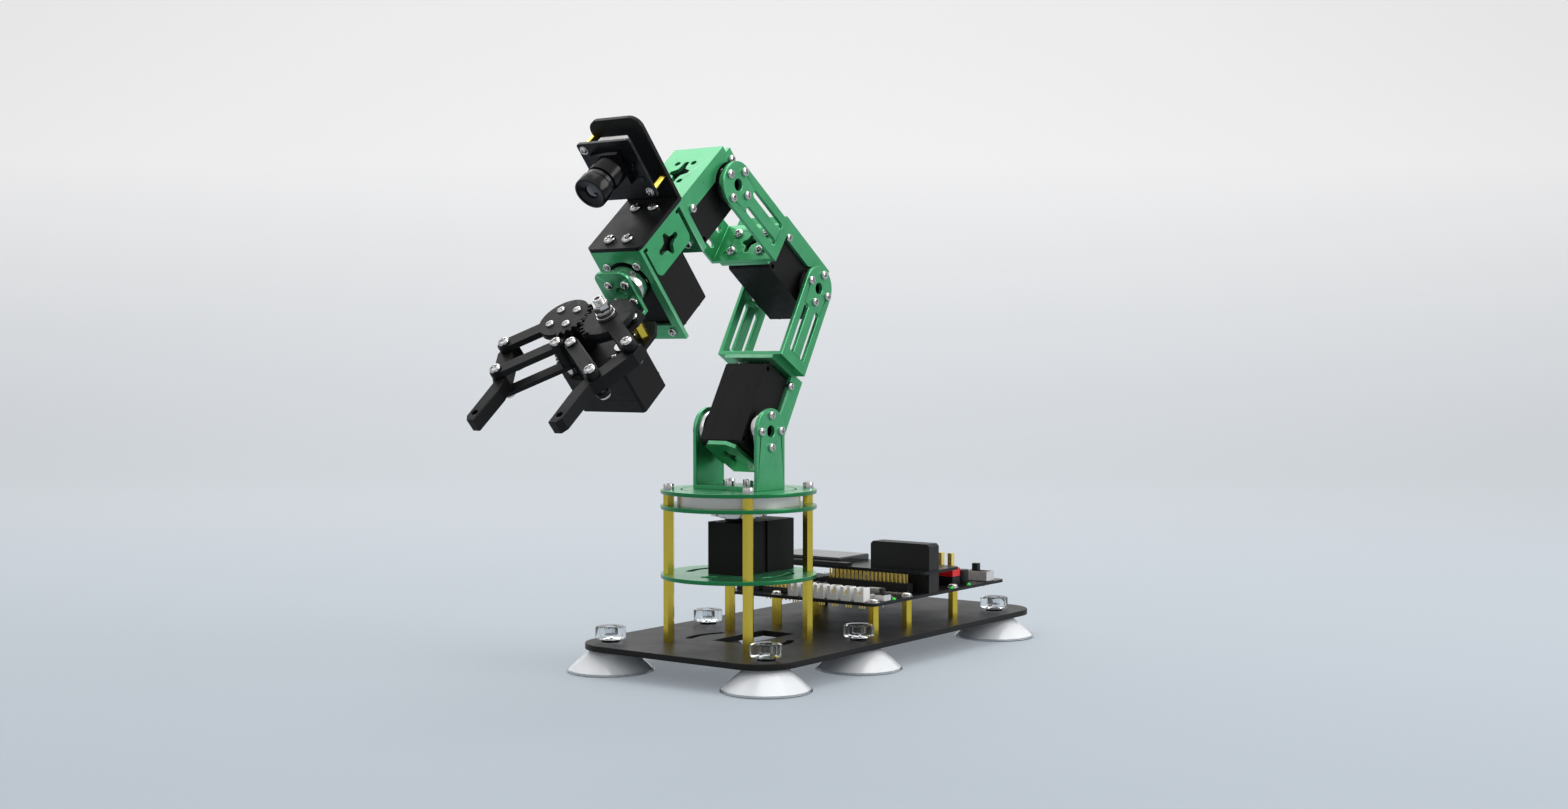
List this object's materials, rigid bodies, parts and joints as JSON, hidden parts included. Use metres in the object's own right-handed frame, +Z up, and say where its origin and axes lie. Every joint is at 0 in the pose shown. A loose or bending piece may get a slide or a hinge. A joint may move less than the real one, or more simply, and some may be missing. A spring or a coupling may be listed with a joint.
{
  "type": "desktop robot arm",
  "caption": "Desktop robot arm on a suction-footed plate: turntable, jointed sheet-metal links driven by hobby servos, wrist camera, geared parallel gripper and open control boards.",
  "frame": {"origin": "where the waist axis meets the bench under the suction cups", "axes": "+Z up along the waist axis, the arm reaches towards -Y, the control boards lie towards +Y, +X to the right seen from behind the arm looking along -Y is -X"},
  "size_m": [0.141, 0.3618, 0.2668],
  "materials": {
    "green_metal": "satin",
    "black_metal": "satin",
    "servo_plastic": "matte",
    "bright_steel": "satin",
    "motor_steel": "satin",
    "brass": "satin",
    "clear_pvc": "gloss",
    "board_black": "satin",
    "white_nylon": "satin",
    "part_black": "satin",
    "red_nylon": "satin",
    "gold_pin": "polished",
    "module_black": "satin",
    "lens_black": "gloss"
  },
  "bodies": {
    "base": {"base_plate": "black_metal", "suction_cups": "clear_pvc", "base_screws": "bright_steel", "brass_standoffs": "brass", "tower_discs": "green_metal", "table_bearing": "bright_steel", "waist_servo_case": "servo_plastic", "waist_servo_motor": "motor_steel", "circuit_boards": "board_black", "servo_sockets": "white_nylon", "board_parts": "part_black", "power_plug": "red_nylon", "header_pins": "gold_pin", "computer_module": "module_black"},
    "switch": {"power_switch_slider": "part_black"},
    "waist": {"turntable": "bright_steel", "turntable_disc": "green_metal", "waist_horn": "bright_steel", "shoulder_bracket": "green_metal", "shoulder_screws": "bright_steel", "shoulder_horns": "bright_steel"},
    "upper_arm": {"shoulder_servo_case": "servo_plastic", "shoulder_servo_motor": "motor_steel", "shoulder_cage": "green_metal", "upper_arm_link": "green_metal", "upper_arm_screws": "bright_steel", "elbow_horns": "bright_steel"},
    "forearm": {"elbow_servo_case": "servo_plastic", "elbow_servo_motor": "motor_steel", "elbow_cage": "green_metal", "forearm_link": "green_metal", "forearm_screws": "bright_steel", "wrist_horns": "bright_steel"},
    "hand": {"wrist_servo_case": "servo_plastic", "wrist_cage": "green_metal", "roll_bracket": "green_metal", "roll_servo_case": "servo_plastic", "wrist_motors": "motor_steel", "wrist_screws": "bright_steel", "camera_bracket": "black_metal", "camera_board": "board_black", "camera_standoffs": "brass", "lens_holder": "lens_black"},
    "lens": {"lens_barrel": "lens_black"},
    "gripper_base": {"roll_horn": "bright_steel", "gripper_mount": "green_metal", "gripper_frame": "black_metal", "gripper_servo_case": "servo_plastic", "gripper_servo_motor": "motor_steel", "gripper_screws": "bright_steel", "gripper_spacers": "brass"},
    "drive_gear": {"left_gear": "black_metal", "gear_screws": "bright_steel"},
    "idle_gear": {"right_gear": "black_metal"},
    "left_link_bar": {"left_link": "black_metal"},
    "right_link_bar": {"right_link": "black_metal"},
    "left_finger_set": {"left_finger": "black_metal", "left_finger_pins": "bright_steel"},
    "right_finger_set": {"right_finger": "black_metal", "right_finger_pins": "bright_steel"}
  },
  "joints": [
    {"name": "waist_yaw", "type": "hinge", "parent": "base", "child": "waist", "pos_m": [0, 0, 0.09], "axis": [0, 0, 1], "range_deg": [-90, 90]},
    {"name": "shoulder_pitch", "type": "hinge", "parent": "waist", "child": "upper_arm", "pos_m": [0, 0, 0.1199], "axis": [1, 0, 0], "range_deg": [-60, 45]},
    {"name": "elbow_pitch", "type": "hinge", "parent": "upper_arm", "child": "forearm", "pos_m": [0, 0.04122, 0.19177], "axis": [-1, 0, 0], "range_deg": [-5.5, 174.5]},
    {"name": "wrist_pitch", "type": "hinge", "parent": "forearm", "child": "hand", "pos_m": [0, -0.02634, 0.23971], "axis": [1, 0, 0], "range_deg": [-166, 14]},
    {"name": "wrist_roll", "type": "hinge", "parent": "hand", "child": "gripper_base", "pos_m": [0, -0.02634, 0.23971], "axis": [0, -0.7593, -0.6508], "range_deg": [-135, 135]},
    {"name": "gripper_drive", "type": "hinge", "parent": "gripper_base", "child": "drive_gear", "pos_m": [-0.0132, -0.10865, 0.16917], "axis": [0, -0.6508, 0.7593], "range_deg": [-18, 48]},
    {"name": "idle_gear_pivot", "type": "hinge", "parent": "gripper_base", "child": "idle_gear", "pos_m": [0.0132, -0.10865, 0.16917], "axis": [0, -0.6508, 0.7593], "range_deg": [-48, 18]},
    {"name": "left_link_pivot", "type": "hinge", "parent": "gripper_base", "child": "left_link_bar", "pos_m": [-0.00464, -0.12277, 0.15706], "axis": [0, -0.6508, 0.7593], "range_deg": [-18, 48]},
    {"name": "right_link_pivot", "type": "hinge", "parent": "gripper_base", "child": "right_link_bar", "pos_m": [0.00464, -0.12277, 0.15706], "axis": [0, -0.6508, 0.7593], "range_deg": [-48, 18]},
    {"name": "left_finger_pivot", "type": "hinge", "parent": "drive_gear", "child": "left_finger_set", "pos_m": [-0.037, -0.12251, 0.15728], "axis": [0, -0.6508, 0.7593], "range_deg": [-48, 18]},
    {"name": "right_finger_pivot", "type": "hinge", "parent": "idle_gear", "child": "right_finger_set", "pos_m": [0.037, -0.12251, 0.15728], "axis": [0, -0.6508, 0.7593], "range_deg": [-18, 48]},
    {"name": "lens_focus", "type": "hinge", "parent": "hand", "child": "lens", "pos_m": [0, -0.10281, 0.23673], "axis": [0, -0.7593, -0.6508], "range_deg": [-170, 170]},
    {"name": "power_switch", "type": "slide", "parent": "base", "child": "switch", "axis": [1, 0, 0], "range_m": [0, 0.004]}
  ],
  "couplings": [
    {"joint": "idle_gear_pivot", "follows": "gripper_drive", "ratio": -1},
    {"joint": "left_link_pivot", "follows": "gripper_drive", "ratio": 1},
    {"joint": "right_link_pivot", "follows": "gripper_drive", "ratio": -1},
    {"joint": "left_finger_pivot", "follows": "gripper_drive", "ratio": -1},
    {"joint": "right_finger_pivot", "follows": "gripper_drive", "ratio": 1}
  ]
}
